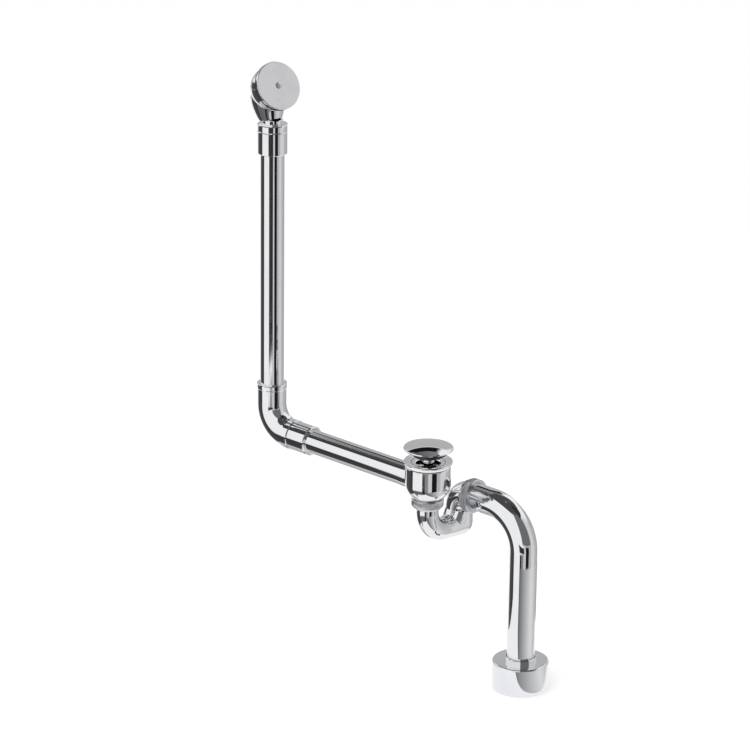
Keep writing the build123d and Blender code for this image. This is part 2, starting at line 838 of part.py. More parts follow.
pieces = {
    "waste_body": make_waste_body(),
    "body_seal": make_body_seal(),
    "flange_seal": make_flange_seal(),
    "waste_flange": make_waste_flange(),
    "plug_guide": make_plug_guide(),
    "plug_spring": make_plug_spring(),
    "plug_stem": make_plug_stem(),
    "plug_seal": make_plug_seal(),
    "plug_cap": make_plug_cap(),
    "trap_inlet_nut": make_trap_inlet_nut(),
    "trap_inlet_washer": make_trap_inlet_washer(),
    "trap_body": make_trap_body(),
    "trap_outlet_nut": make_trap_outlet_nut(),
    "trap_outlet_washer": make_trap_outlet_washer(),
    "outlet_pipe": make_outlet_pipe(),
    "floor_cover": make_floor_cover(),
    "cover_ring": make_cover_ring(),
    "link_pipe": make_link_pipe(),
    "link_pipe_seal": make_link_pipe_seal(),
    "lower_elbow": make_lower_elbow(),
    "elbow_socket_seal": make_elbow_socket_seal(),
    "link_coupling_nut": to_link(coupling_nut(), elbow_face_x),
    "link_coupling_seal": to_link(coupling_seal(), elbow_face_x),
    "overflow_pipe": make_overflow_pipe(),
    "overflow_coupling_nut": to_overflow(coupling_nut(), overflow_collar_top),
    "overflow_coupling_seal": to_overflow(coupling_seal(), overflow_collar_top),
    "overflow_elbow": make_overflow_elbow(),
    "overflow_seal": make_overflow_seal(),
    "overflow_face_plate": make_face_plate(),
    "face_plate_screw": make_face_screw(),
}

os.makedirs("parts", exist_ok=True)
for name, piece in pieces.items():
    export_step(piece, os.path.join("parts", name + ".step"))
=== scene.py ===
"""Dress the bath waste and overflow: metal, seals, knurled nuts, spring, camera and studio."""
import json
import logging
import math
from dataclasses import dataclass, field, replace
from enum import Enum

import bpy
import numpy as np
from mathutils import Matrix, Vector

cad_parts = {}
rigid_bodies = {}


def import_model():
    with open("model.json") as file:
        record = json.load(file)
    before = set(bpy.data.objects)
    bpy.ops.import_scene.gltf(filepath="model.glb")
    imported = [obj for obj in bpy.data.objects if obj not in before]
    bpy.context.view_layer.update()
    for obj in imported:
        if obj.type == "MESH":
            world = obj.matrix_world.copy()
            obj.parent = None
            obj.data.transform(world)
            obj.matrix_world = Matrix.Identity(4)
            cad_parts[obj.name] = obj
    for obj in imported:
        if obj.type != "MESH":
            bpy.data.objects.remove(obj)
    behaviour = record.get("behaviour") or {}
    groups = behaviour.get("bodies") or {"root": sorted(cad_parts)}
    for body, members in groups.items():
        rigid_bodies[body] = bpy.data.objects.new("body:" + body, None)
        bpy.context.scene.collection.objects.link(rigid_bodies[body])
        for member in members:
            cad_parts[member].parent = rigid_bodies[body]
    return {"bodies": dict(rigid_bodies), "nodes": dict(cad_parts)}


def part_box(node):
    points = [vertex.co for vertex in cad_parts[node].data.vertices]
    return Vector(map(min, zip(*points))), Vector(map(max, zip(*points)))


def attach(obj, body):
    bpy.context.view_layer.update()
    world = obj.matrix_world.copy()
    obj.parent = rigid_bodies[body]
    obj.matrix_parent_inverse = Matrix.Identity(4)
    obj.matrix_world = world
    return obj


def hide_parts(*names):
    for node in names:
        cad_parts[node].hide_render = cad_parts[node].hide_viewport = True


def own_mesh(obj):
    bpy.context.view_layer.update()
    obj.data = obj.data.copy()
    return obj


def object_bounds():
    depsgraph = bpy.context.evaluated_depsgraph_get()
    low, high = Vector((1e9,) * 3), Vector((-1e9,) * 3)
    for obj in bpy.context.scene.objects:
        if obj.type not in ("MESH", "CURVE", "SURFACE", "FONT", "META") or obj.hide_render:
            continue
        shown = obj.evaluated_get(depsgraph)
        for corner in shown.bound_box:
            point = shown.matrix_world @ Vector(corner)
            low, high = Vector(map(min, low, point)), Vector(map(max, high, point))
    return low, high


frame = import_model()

log = logging.getLogger("bath_waste")
MM = 0.001
CAD_BOX = [list(corner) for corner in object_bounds()]
CREASE = math.radians(28.0)
WHITE = (1.0, 1.0, 1.0, 1.0)
FLAT_STEPS = 9
DOME_STEPS = 17
CURVED_STEPS = 33


class Axis(Enum):
    """Direction that a turned piece's own axis points in."""

    UP = (0.0, 0.0, 1.0)
    ALONG_ARM = (1.0, 0.0, 0.0)


@dataclass
class Graph:
    """Adds and joins nodes in one node tree."""

    tree: bpy.types.NodeTree

    def add(self, kind: str, sockets: dict | None = None, **settings: object) -> bpy.types.Node:
        """Add a node.

        Args:
            kind: The node's type name.
            sockets: Input values by socket name or number.
            settings: Attributes set on the node.

        Returns:
            The new node.
        """
        node = self.tree.nodes.new(kind)
        for name, value in settings.items():
            setattr(node, name, value)
        for name, value in (sockets or {}).items():
            node.inputs[name].default_value = value
        return node

    def join(self, source: bpy.types.NodeSocket, target: bpy.types.NodeSocket) -> None:
        """Join an output to an input."""
        self.tree.links.new(source, target)

    def scaled(self, source: bpy.types.NodeSocket, low: float, high: float) -> bpy.types.NodeSocket:
        """Carry a 0 to 1 value onto a new range.

        Args:
            source: Output that holds the value.
            low: Result at 0.
            high: Result at 1.

        Returns:
            The output with the new range.
        """
        node = self.add("ShaderNodeMapRange", {"To Min": low, "To Max": high})
        self.join(source, node.inputs["Value"])
        return node.outputs["Result"]

    def combined(
        self, operation: str, first: bpy.types.NodeSocket, second: bpy.types.NodeSocket
    ) -> bpy.types.NodeSocket:
        """Combine two numbers.

        Args:
            operation: Name of the operation.
            first: Output that holds the first number.
            second: Output that holds the second number.

        Returns:
            The output with the result.
        """
        node = self.add("ShaderNodeMath", operation=operation)
        self.join(first, node.inputs[0])
        self.join(second, node.inputs[1])
        return node.outputs["Value"]

    def mixed(
        self, share: bpy.types.NodeSocket, first: bpy.types.NodeSocket, second: bpy.types.NodeSocket
    ) -> bpy.types.NodeSocket:
        """Mix two shaders.

        Args:
            share: Share of the second shader, 0 to 1.
            first: Shader seen at 0.
            second: Shader seen at 1.

        Returns:
            The output with the mixed shader.
        """
        node = self.add("ShaderNodeMixShader")
        self.join(share, node.inputs["Fac"])
        self.join(first, node.inputs[1])
        self.join(second, node.inputs[2])
        return node.outputs["Shader"]


def empty_graph(owner: bpy.types.Material | bpy.types.World) -> Graph:
    """Clear the nodes of a material or a world.

    Args:
        owner: The material or world.

    Returns:
        The graph of its empty node tree.
    """
    owner.use_nodes = True
    owner.node_tree.nodes.clear()
    return Graph(owner.node_tree)


def add_object(name: str, data: bpy.types.ID) -> bpy.types.Object:
    """Make an object at the origin and put it in the scene.

    Args:
        name: The object's name.
        data: Its mesh, lamp or camera.

    Returns:
        The new object.
    """
    thing = bpy.data.objects.new(name, data)
    bpy.context.scene.collection.objects.link(thing)
    return thing


def heading(bearing: float | np.ndarray, height: float | np.ndarray) -> np.ndarray:
    """Direction (sin b cos e, -cos b cos e, sin e) of bearing b and elevation e.

    Args:
        bearing: Compass bearing in degrees, 0 towards -Y and 90 towards +X.
        height: Elevation in degrees.

    Returns:
        Unit vectors, with the coordinates last.
    """
    turn, lift = np.radians(bearing), np.radians(height)
    flat = np.cos(lift)
    return np.stack([np.sin(turn) * flat, -np.cos(turn) * flat, np.sin(lift)], -1)


def between(ends: tuple[float, float], share: np.ndarray) -> np.ndarray:
    """Values a + share x (b - a) between the two ends a and b."""
    return ends[0] + share * (ends[1] - ends[0])


def share_grid(columns: int, rows: int) -> list[np.ndarray]:
    """Shares 0 to 1 over a grid: first those across its columns, then those up its rows."""
    return np.meshgrid(np.linspace(0.0, 1.0, columns), np.linspace(0.0, 1.0, rows))


@dataclass
class SurfaceEffects:
    """Node groups that several finishes share, each built once."""

    groups: dict[str, bpy.types.NodeTree] = field(default_factory=dict)

    def start(self, name: str, inputs: dict[str, float], output: str) -> Graph:
        """Open a node group with a vector input, number inputs and one number output.

        Args:
            name: The group's name.
            inputs: Default value of each number input.
            output: Name of the output.

        Returns:
            The graph of the new group.
        """
        tree = bpy.data.node_groups.new(name, "ShaderNodeTree")
        tree.interface.new_socket("Vector", in_out="INPUT", socket_type="NodeSocketVector")
        for label, value in inputs.items():
            socket = tree.interface.new_socket(label, in_out="INPUT", socket_type="NodeSocketFloat")
            socket.default_value = value
        tree.interface.new_socket(output, in_out="OUTPUT", socket_type="NodeSocketFloat")
        self.groups[name] = tree
        return Graph(tree)

    def build(self) -> None:
        """Build the wiped marks, the polishing lines and the casting ripple."""
        self.wiped_marks()
        self.polishing_lines()
        self.casting_ripple()

    def wiped_marks(self) -> None:
        """Faint patches left by a cloth: broad noise times a finer, stretched noise."""
        graph = self.start("wiped marks", {"Scale": 30.0}, "Mask")
        given = graph.add("NodeGroupInput")
        broad = graph.add("ShaderNodeTexNoise", {"Detail": 3.0, "Roughness": 0.55})
        graph.join(given.outputs["Vector"], broad.inputs["Vector"])
        graph.join(given.outputs["Scale"], broad.inputs["Scale"])
        stretch = graph.add("ShaderNodeVectorMath", operation="MULTIPLY")
        stretch.inputs[1].default_value = (1.0, 3.5, 0.8)
        graph.join(given.outputs["Vector"], stretch.inputs[0])
        fine = graph.add("ShaderNodeTexNoise", {"Scale": 160.0, "Detail": 4.0})
        graph.join(stretch.outputs["Vector"], fine.inputs["Vector"])
        patch = graph.add("ShaderNodeMapRange", {"From Min": 0.42, "From Max": 0.70})
        graph.join(broad.outputs["Fac"], patch.inputs["Value"])
        both = graph.combined("MULTIPLY", patch.outputs["Result"], fine.outputs["Fac"])
        out = graph.add("NodeGroupOutput")
        graph.join(both, out.inputs["Mask"])

    def polishing_lines(self) -> None:
        """Fine lines: noise squeezed across the lines by the material's own mapping."""
        graph = self.start("polishing lines", {"Scale": 900.0}, "Height")
        given = graph.add("NodeGroupInput")
        lines = graph.add("ShaderNodeTexNoise", {"Detail": 2.0, "Roughness": 0.5})
        graph.join(given.outputs["Vector"], lines.inputs["Vector"])
        graph.join(given.outputs["Scale"], lines.inputs["Scale"])
        out = graph.add("NodeGroupOutput")
        graph.join(lines.outputs["Fac"], out.inputs["Height"])

    def casting_ripple(self) -> None:
        """Slow waves of a polished casting: two noises, the finer at a quarter height."""
        graph = self.start("casting ripple", {"Scale": 28.0}, "Height")
        given = graph.add("NodeGroupInput")
        slow = graph.add("ShaderNodeTexNoise", {"Detail": 1.0})
        graph.join(given.outputs["Vector"], slow.inputs["Vector"])
        graph.join(given.outputs["Scale"], slow.inputs["Scale"])
        fine = graph.add("ShaderNodeTexNoise", {"Scale": 95.0, "Detail": 2.0})
        graph.join(given.outputs["Vector"], fine.inputs["Vector"])
        quarter = graph.add("ShaderNodeMath", operation="MULTIPLY_ADD")
        quarter.inputs[1].default_value = 0.25
        graph.join(fine.outputs["Fac"], quarter.inputs[0])
        graph.join(slow.outputs["Fac"], quarter.inputs[2])
        out = graph.add("NodeGroupOutput")
        graph.join(quarter.outputs["Value"], out.inputs["Height"])


@dataclass(frozen=True)
class Finish:
    """One surface finish: colour, gloss and the small relief that the real one shows.

    Attributes:
        title: The material's name.
        clean: Colour of the clean surface.
        marked: Colour under the wiped marks.
        metallic: 1 for metal, 0 for rubber.
        gloss: Roughness of the clean and of the marked surface.
        mark_scale: Scale of the wiped marks, per metre.
        relief: Node group that gives the height, its scale, and the relief's depth in metres.
        squeeze: How much the relief's pattern is squeezed along X, Y and Z.
    """

    title: str
    clean: tuple[float, float, float]
    marked: tuple[float, float, float]
    metallic: float
    gloss: tuple[float, float]
    mark_scale: float
    relief: tuple[str, float, float]
    squeeze: tuple[float, float, float] = (1.0, 1.0, 1.0)

    def make(self, effects: SurfaceEffects) -> bpy.types.Material:
        """Build the material.

        Args:
            effects: The shared node groups.

        Returns:
            The finished material.
        """
        material = bpy.data.materials.new(self.title)
        graph = empty_graph(material)
        place = graph.add("ShaderNodeTexCoord")
        surface = graph.add("ShaderNodeBsdfPrincipled", {"Metallic": self.metallic})
        marks = graph.add("ShaderNodeGroup", node_tree=effects.groups["wiped marks"])
        marks.inputs["Scale"].default_value = self.mark_scale
        graph.join(place.outputs["Object"], marks.inputs["Vector"])
        colour = graph.add("ShaderNodeMix", data_type="RGBA")
        colour.inputs["A"].default_value = (*self.clean, 1.0)
        colour.inputs["B"].default_value = (*self.marked, 1.0)
        graph.join(marks.outputs["Mask"], colour.inputs["Factor"])
        graph.join(colour.outputs["Result"], surface.inputs["Base Color"])
        graph.join(graph.scaled(marks.outputs["Mask"], *self.gloss), surface.inputs["Roughness"])
        group, scale, depth = self.relief
        turn = graph.add("ShaderNodeMapping", {"Scale": self.squeeze})
        graph.join(place.outputs["Object"], turn.inputs["Vector"])
        height = graph.add("ShaderNodeGroup", node_tree=effects.groups[group])
        height.inputs["Scale"].default_value = scale
        graph.join(turn.outputs["Vector"], height.inputs["Vector"])
        bump = graph.add("ShaderNodeBump", {"Strength": 1.0, "Distance": depth})
        graph.join(height.outputs["Height"], bump.inputs["Height"])
        graph.join(bump.outputs["Normal"], surface.inputs["Normal"])
        out = graph.add("ShaderNodeOutputMaterial")
        graph.join(surface.outputs["BSDF"], out.inputs["Surface"])
        return material


PLATED = (0.83, 0.835, 0.86)
PLATED_MARKED = (0.76, 0.765, 0.79)

FINISHES = {
    "drawn_chrome_up": Finish(
        "drawn chrome, upright", PLATED, PLATED_MARKED, 1.0, (0.03, 0.10), 22.0,
        ("polishing lines", 700.0, 0.000004), (1.0, 1.0, 0.04),
    ),
    "drawn_chrome_along": Finish(
        "drawn chrome, lying", PLATED, PLATED_MARKED, 1.0, (0.03, 0.10), 22.0,
        ("polishing lines", 700.0, 0.000004), (0.04, 1.0, 1.0),
    ),
    "cast_chrome": Finish(
        "cast chrome", PLATED, PLATED_MARKED, 1.0, (0.035, 0.11), 30.0,
        ("casting ripple", 28.0, 0.00008),
    ),
    "bent_chrome": Finish(
        "bent tube chrome", PLATED, PLATED_MARKED, 1.0, (0.03, 0.09), 24.0,
        ("casting ripple", 18.0, 0.00004),
    ),
    "turned_chrome": Finish(
        "turned chrome", PLATED, PLATED_MARKED, 1.0, (0.03, 0.09), 34.0,
        ("polishing lines", 900.0, 0.000005), (0.3, 0.3, 1.0),
    ),
    "brushed_plate": Finish(
        "brushed face plate", (0.80, 0.80, 0.82), (0.72, 0.72, 0.75), 1.0, (0.16, 0.27), 40.0,
        ("polishing lines", 1400.0, 0.000012), (1.0, 1.0, 0.12),
    ),
    "satin_nut": Finish(
        "satin nut", (0.72, 0.72, 0.74), (0.62, 0.62, 0.64), 1.0, (0.30, 0.42), 45.0,
        ("polishing lines", 1500.0, 0.00001), (1.0, 1.0, 0.5),
    ),
    "screw_steel": Finish(
        "screw steel", (0.62, 0.62, 0.63), (0.50, 0.50, 0.51), 1.0, (0.18, 0.32), 90.0,
        ("polishing lines", 1600.0, 0.00001),
    ),
    "machined_brass": Finish(
        "machined brass", (0.78, 0.60, 0.30), (0.66, 0.49, 0.24), 1.0, (0.20, 0.34), 70.0,
        ("polishing lines", 1500.0, 0.00001), (0.3, 0.3, 1.0),
    ),
    "plug_rubber": Finish(
        "plug rubber", (0.022, 0.022, 0.024), (0.05, 0.05, 0.052), 0.0, (0.34, 0.52), 60.0,
        ("casting ripple", 260.0, 0.00006),
    ),
    "black_rubber": Finish(
        "black rubber", (0.012, 0.012, 0.013), (0.03, 0.03, 0.03), 0.0, (0.55, 0.7), 60.0,
        ("casting ripple", 260.0, 0.00005),
    ),
    "white_seal": Finish(
        "white seal", (0.92, 0.92, 0.91), (0.88, 0.88, 0.87), 0.0, (0.38, 0.55), 55.0,
        ("casting ripple", 240.0, 0.00005),
    ),
}

NODE_FINISH = {
    "overflow_pipe": "drawn_chrome_up",
    "link_pipe": "drawn_chrome_along",
    "outlet_pipe": "bent_chrome",
    "waste_body": "cast_chrome",
    "trap_body": "cast_chrome",
    "lower_elbow": "cast_chrome",
    "overflow_elbow": "cast_chrome",
    "waste_flange": "turned_chrome",
    "floor_cover": "turned_chrome",
    "link_coupling_nut": "turned_chrome",
    "overflow_coupling_nut": "turned_chrome",
    "plug_stem": "turned_chrome",
    "plug_cap": "turned_chrome",
    "overflow_face_plate": "brushed_plate",
    "face_plate_screw": "screw_steel",
    "trap_inlet_nut": "satin_nut",
    "trap_outlet_nut": "satin_nut",
    "plug_guide": "machined_brass",
    "plug_spring": "screw_steel",
    "plug_seal": "plug_rubber",
    "flange_seal": "white_seal",
    "body_seal": "black_rubber",
    "overflow_seal": "black_rubber",
    "link_pipe_seal": "black_rubber",
    "elbow_socket_seal": "black_rubber",
    "link_coupling_seal": "black_rubber",
    "overflow_coupling_seal": "black_rubber",
    "trap_inlet_washer": "black_rubber",
    "trap_outlet_washer": "black_rubber",
    "cover_ring": "black_rubber",
}


@dataclass
class Wardrobe:
    """Holds the finished materials and puts them on the pieces."""

    effects: SurfaceEffects = field(default_factory=SurfaceEffects)
    made: dict[str, bpy.types.Material] = field(default_factory=dict)

    def build(self) -> None:
        """Build the shared effects and every finish."""
        self.effects.build()
        self.made = {name: finish.make(self.effects) for name, finish in FINISHES.items()}

    def dress(self, piece: bpy.types.Object, finish: str) -> None:
        """Give a piece one finish all over."""
        piece.data.materials.clear()
        piece.data.materials.append(self.made[finish])

    def dress_nodes(self) -> None:
        """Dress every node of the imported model."""
        for name, node in frame["nodes"].items():
            self.dress(node, NODE_FINISH[name])
            log.info("%s: %s", name, NODE_FINISH[name])


@dataclass
class KnurledNut:
    """Ring nut with a straight knurl, in the place of its plain node.

    Attributes:
        node: The plain nut that it stands for.
        axis: Direction of the nut's axis.
        thread_r: Radius of its thread in metres.
        lip_r: Radius of the hole in its lip.
        lip_t: Thickness of the lip.
        lip_at_far_end: True where the lip is at the end that the axis points to.
        ridges: Number of knurl ridges.
        lip_edge: Width and height of the slope at the lipped end.
        knurl_depth: Depth of the knurl.
        edge: Width of the chamfers.
        land: Plain width left at each end of the knurl.
        run_out: Length over which the knurl reaches its depth.
        ridge_points: Points round the nut for each ridge.
    """

    node: str
    axis: Axis
    thread_r: float
    lip_r: float
    lip_t: float
    lip_at_far_end: bool
    ridges: int
    lip_edge: tuple[float, float] = (0.8 * MM, 0.8 * MM)
    knurl_depth: float = 0.45 * MM
    edge: float = 0.7 * MM
    land: float = 1.4 * MM
    run_out: float = 0.4 * MM
    ridge_points: int = 6

    def profile(self, radius: float, length: float) -> tuple[np.ndarray, np.ndarray, np.ndarray]:
        """Half section from the lipped end, going outside first.

        Args:
            radius: Outer radius.
            length: Length along the axis.

        Returns:
            Radius, height and share of the knurl's depth at each point.
        """
        inset, rise = self.lip_edge
        low, high = rise + self.land, length - self.edge - self.land
        table = np.array([
            (self.lip_r, 0.0, 0.0),
            (radius - inset, 0.0, 0.0),
            (radius, rise, 0.0),
            (radius, low, 0.0),
            (radius, low + self.run_out, 1.0),
            (radius, high - self.run_out, 1.0),
            (radius, high, 0.0),
            (radius, length - self.edge, 0.0),
            (radius - self.edge, length, 0.0),
            (self.thread_r, length, 0.0),
            (self.thread_r, self.lip_t, 0.0),
            (self.lip_r, self.lip_t, 0.0),
        ])
        return table[:, 0], table[:, 1], table[:, 2]

    def build(self) -> bpy.types.Object:
        """Build the ring: radius(s, a) = profile(s) - depth x share(s) x wave(a).

        The wave is a triangle wave round the nut, 0 on a ridge and 1 in a groove.
        """
        low, high = (np.array(corner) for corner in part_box(self.node))
        centre, size = (low + high) / 2, high - low
        along = int(np.argmax(np.abs(self.axis.value)))
        radius, length = size[(along + 1) % 3] / 2, size[along]
        ring, height, share = self.profile(radius, length)
        count = self.ridges * self.ridge_points
        turn = np.linspace(0.0, 2.0 * np.pi, count, endpoint=False)
        phase = (turn * self.ridges / (2.0 * np.pi)) % 1.0
        wave = 1.0 - np.abs(2.0 * phase - 1.0)
        reach = ring[:, None] - self.knurl_depth * share[:, None] * wave[None, :]
        place = height - length / 2
        if self.lip_at_far_end:
            place = -place
        grid = np.zeros((len(ring), count, 3))
        grid[..., along] = place[:, None]
        grid[..., (along + 1) % 3] = reach * np.cos(turn)
        grid[..., (along + 2) % 3] = reach * np.sin(turn)
        piece = closed_ring(self.node + "_knurled", grid + centre, not self.lip_at_far_end)
        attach(piece, "kit")
        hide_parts(self.node)
        return piece


@dataclass(frozen=True)
class SqueezedSpring:
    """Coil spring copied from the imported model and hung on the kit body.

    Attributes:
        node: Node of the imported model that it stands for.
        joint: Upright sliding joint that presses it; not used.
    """

    node: str
    joint: str

    def build(self) -> bpy.types.Object:
        """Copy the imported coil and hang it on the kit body.

        Returns:
            The spring.
        """
        source = frame["nodes"][self.node]
        mesh = source.data.copy()
        mesh.transform(source.matrix_world)
        piece = add_object(self.node + "_coil", mesh)
        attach(piece, "kit")
        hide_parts(self.node)
        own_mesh(piece)
        return piece


def closed_ring(name: str, grid: np.ndarray, flip: bool) -> bpy.types.Object:
    """Make a mesh from a grid that closes on itself both ways.

    Args:
        name: The piece's name.
        grid: Points, section by turn by coordinate.
        flip: True to turn the faces round.

    Returns:
        The new object at the origin.
    """
    rows, columns = grid.shape[:2]
    index = np.arange(rows * columns).reshape(rows, columns)
    right, below = np.roll(index, -1, axis=1), np.roll(index, -1, axis=0)
    quads = np.stack([index, right, np.roll(below, -1, axis=1), below], axis=-1).reshape(-1, 4)
    if flip:
        quads = quads[:, ::-1]
    mesh = bpy.data.meshes.new(name)
    mesh.from_pydata(grid.reshape(-1, 3).tolist(), [], quads.tolist())
    mesh.polygons.foreach_set("use_smooth", np.ones(len(quads), bool))
    mesh.set_sharp_from_angle(angle=CREASE)
    mesh.update()
    return add_object(name, mesh)


@dataclass(frozen=True)
class GlossCard:
    """Card that only the polished metal sees.

    Attributes:
        title: The card's name.
        level: Brightness at the first and at the last end.
        soft: Share of the card that fades out at each side, along and across.
    """

    title: str
    level: tuple[float, float]
    soft: tuple[float, float]

    def surface(self) -> tuple[np.ndarray, np.ndarray]:
        """Points of the card and their places on it, both on one grid."""
        raise NotImplementedError

    def fade(self, graph: Graph, source: bpy.types.NodeSocket, soft: float) -> bpy.types.NodeSocket:
        """Fade that rises from 0 at one edge to 1 and falls to 0 at the other.

        Args:
            graph: Graph of the card's material.
            source: Place across the card, 0 to 1.
            soft: Share that each edge takes.

        Returns:
            The output with the fade.
        """
        middle = graph.add("ShaderNodeMath", operation="SUBTRACT")
        middle.inputs[1].default_value = 0.5
        graph.join(source, middle.inputs[0])
        out = graph.add("ShaderNodeMath", operation="ABSOLUTE")
        graph.join(middle.outputs["Value"], out.inputs[0])
        edge = graph.add(
            "ShaderNodeMapRange",
            {"From Min": 0.5, "From Max": 0.5 - max(soft, 0.001), "To Min": 0.0, "To Max": 1.0},
            interpolation_type="SMOOTHSTEP",
        )
        graph.join(out.outputs["Value"], edge.inputs["Value"])
        return edge.outputs["Result"]

    def build(self) -> bpy.types.Object:
        """Hang the card.

        Returns:
            The card.
        """
        points, places = self.surface()
        rows, columns = points.shape[:2]
        index = np.arange(rows * columns).reshape(rows, columns)
        quads = np.stack([index[:-1, :-1], index[1:, :-1], index[1:, 1:], index[:-1, 1:]], -1)
        quads = quads.reshape(-1, 4)
        mesh = bpy.data.meshes.new(self.title)
        mesh.from_pydata(points.reshape(-1, 3).tolist(), [], quads.tolist())
        layer = mesh.uv_layers.new(name="place")
        layer.data.foreach_set("uv", places.reshape(-1, 2)[quads.ravel()].ravel())
        card = add_object(self.title, mesh)
        mesh.materials.append(self.material())
        card.visible_camera = False
        card.visible_diffuse = False
        card.visible_transmission = False
        card.visible_volume_scatter = False
        card.visible_shadow = False
        return card

    def material(self) -> bpy.types.Material:
        """Card material: plain brightness that fades into the white studio at its edges."""
        material = bpy.data.materials.new(self.title)
        graph = empty_graph(material)
        place = graph.add("ShaderNodeUVMap", uv_map="place")
        parts = graph.add("ShaderNodeSeparateXYZ")
        graph.join(place.outputs["UV"], parts.inputs["Vector"])
        across = self.fade(graph, parts.outputs["X"], self.soft[0])
        along = self.fade(graph, parts.outputs["Y"], self.soft[1])
        both = graph.combined("MULTIPLY", across, along)
        glow = graph.add("ShaderNodeEmission")
        graph.join(graph.scaled(parts.outputs["X"], *self.level), glow.inputs["Strength"])
        clear = graph.add("ShaderNodeBsdfTransparent")
        mix = graph.mixed(both, clear.outputs["BSDF"], glow.outputs["Emission"])
        out = graph.add("ShaderNodeOutputMaterial")
        graph.join(mix, out.inputs["Surface"])
        return material


@dataclass(frozen=True)
class DomeFlag(GlossCard):
    """Card on a wide dome round the part.

    Attributes:
        bearing: First and last compass bearing in degrees, 0 towards -Y and 90 towards +X.
        height: Lowest and highest elevation in degrees.
        radius: The dome's radius in metres.
    """

    bearing: tuple[float, float]
    height: tuple[float, float]
    radius: float = 9.0

    def surface(self) -> tuple[np.ndarray, np.ndarray]:
        """Points radius x heading(b, e) over bearing b and elevation e."""
        across, rise = share_grid(CURVED_STEPS, DOME_STEPS)
        points = heading(between(self.bearing, across), between(self.height, rise))
        return self.radius * points, np.stack([across, rise], -1)


@dataclass(frozen=True)
class FloorSheet(GlossCard):
    """Sheet that lies just under the floor, for the metal near it.

    Attributes:
        deep: First and last place along Y in metres.
        wide: First and last place along X.
        height: Height of the sheet.
    """

    deep: tuple[float, float]
    wide: tuple[float, float]
    height: float

    def surface(self) -> tuple[np.ndarray, np.ndarray]:
        """Points of a level rectangle, the first place running along Y."""
        along, across = share_grid(FLAT_STEPS, FLAT_STEPS)
        x, y = between(self.wide, across), between(self.deep, along)
        return np.stack([x, y, np.full_like(x, self.height)], -1), np.stack([along, across], -1)


@dataclass(frozen=True)
class FloorFan(GlossCard):
    """Fan that lies just under the floor round one upright axis.

    Attributes:
        bearing: First and last compass bearing in degrees.
        radii: Inner and outer radius in metres.
        axis: Place of the axis.
        height: Height of the fan.
    """

    bearing: tuple[float, float]
    radii: tuple[float, float]
    axis: tuple[float, float]
    height: float

    def surface(self) -> tuple[np.ndarray, np.ndarray]:
        """Points axis + r (sin b, -cos b) over bearing b and radius r."""
        across, out = share_grid(CURVED_STEPS, FLAT_STEPS)
        turn = np.radians(between(self.bearing, across))
        radius = between(self.radii, out)
        x = self.axis[0] + radius * np.sin(turn)
        y = self.axis[1] - radius * np.cos(turn)
        return np.stack([x, y, np.full_like(x, self.height)], -1), np.stack([across, out], -1)


FLAGS = (
    DomeFlag("front strip", (0.06, 0.02), (0.10, 0.06), (9.0, 50.0), (-19.9, -10.0)),
    DomeFlag("front strip, lower", (0.02, 0.02), (0.08, 0.06), (12.5, 27.5), (-56.0, -19.9)),
    DomeFlag("middle strip", (0.24, 0.30), (0.05, 0.06), (26.8, 43.0), (-30.0, -19.9)),
    DomeFlag("front right strip", (0.004, 0.02), (0.08, 0.08), (60.0, 88.0), (-44.0, -5.0)),
    DomeFlag("centre card", (0.66, 0.66), (0.04, 0.08), (42.0, 61.0), (-40.0, -5.0)),
    DomeFlag("near right card", (0.46, 0.54), (0.06, 0.08), (87.0, 106.0), (-42.0, -2.0)),
    DomeFlag("high right flag", (0.03, 0.03), (0.22, 0.14), (84.0, 150.0), (46.0, 78.0)),
    DomeFlag("face card", (0.70, 0.74), (0.10, 0.07), (104.0, 136.0), (-46.0, 47.0)),
    DomeFlag("right wall", (0.60, 0.38), (0.08, 0.18), (132.0, 194.0), (-46.0, 30.0)),
    DomeFlag("left gap flag", (0.10, 0.04), (0.05, 0.04), (-94.0, -38.5), (-45.0, -8.0)),
    DomeFlag("left gap, upper part", (0.07, 0.07), (0.08, 0.08), (-98.0, -50.0), (-9.0, 6.0)),
    DomeFlag("left floor", (0.40, 0.60), (0.10, 0.10), (-126.0, -62.0), (-64.0, -44.0)),
    DomeFlag("left high bar", (0.08, 0.04), (0.08, 0.10), (-92.0, -52.0), (35.0, 58.0)),
    DomeFlag("left high card", (0.24, 0.26), (0.08, 0.10), (-122.0, -90.0), (43.0, 60.0)),
    DomeFlag("front wall", (0.17, 0.17), (0.04, 0.08), (39.0, 108.0), (-8.0, 60.0)),
    DomeFlag("back arch", (0.008, 0.008), (0.16, 0.10), (207.0, 246.0), (34.5, 48.0)),
    DomeFlag("back top", (0.26, 0.08), (0.10, 0.10), (206.0, 246.0), (46.0, 62.0)),
    DomeFlag("back wall", (0.50, 0.50), (0.10, 0.10), (202.0, 264.0), (-14.0, 37.0)),
    DomeFlag("front floor", (0.14, 0.20), (0.06, 0.04), (-46.0, 114.0), (-86.0, -25.5)),
    DomeFlag("dark ceiling", (0.07, 0.07), (0.001, 0.06), (-180.0, 180.0), (50.0, 89.9)),
)


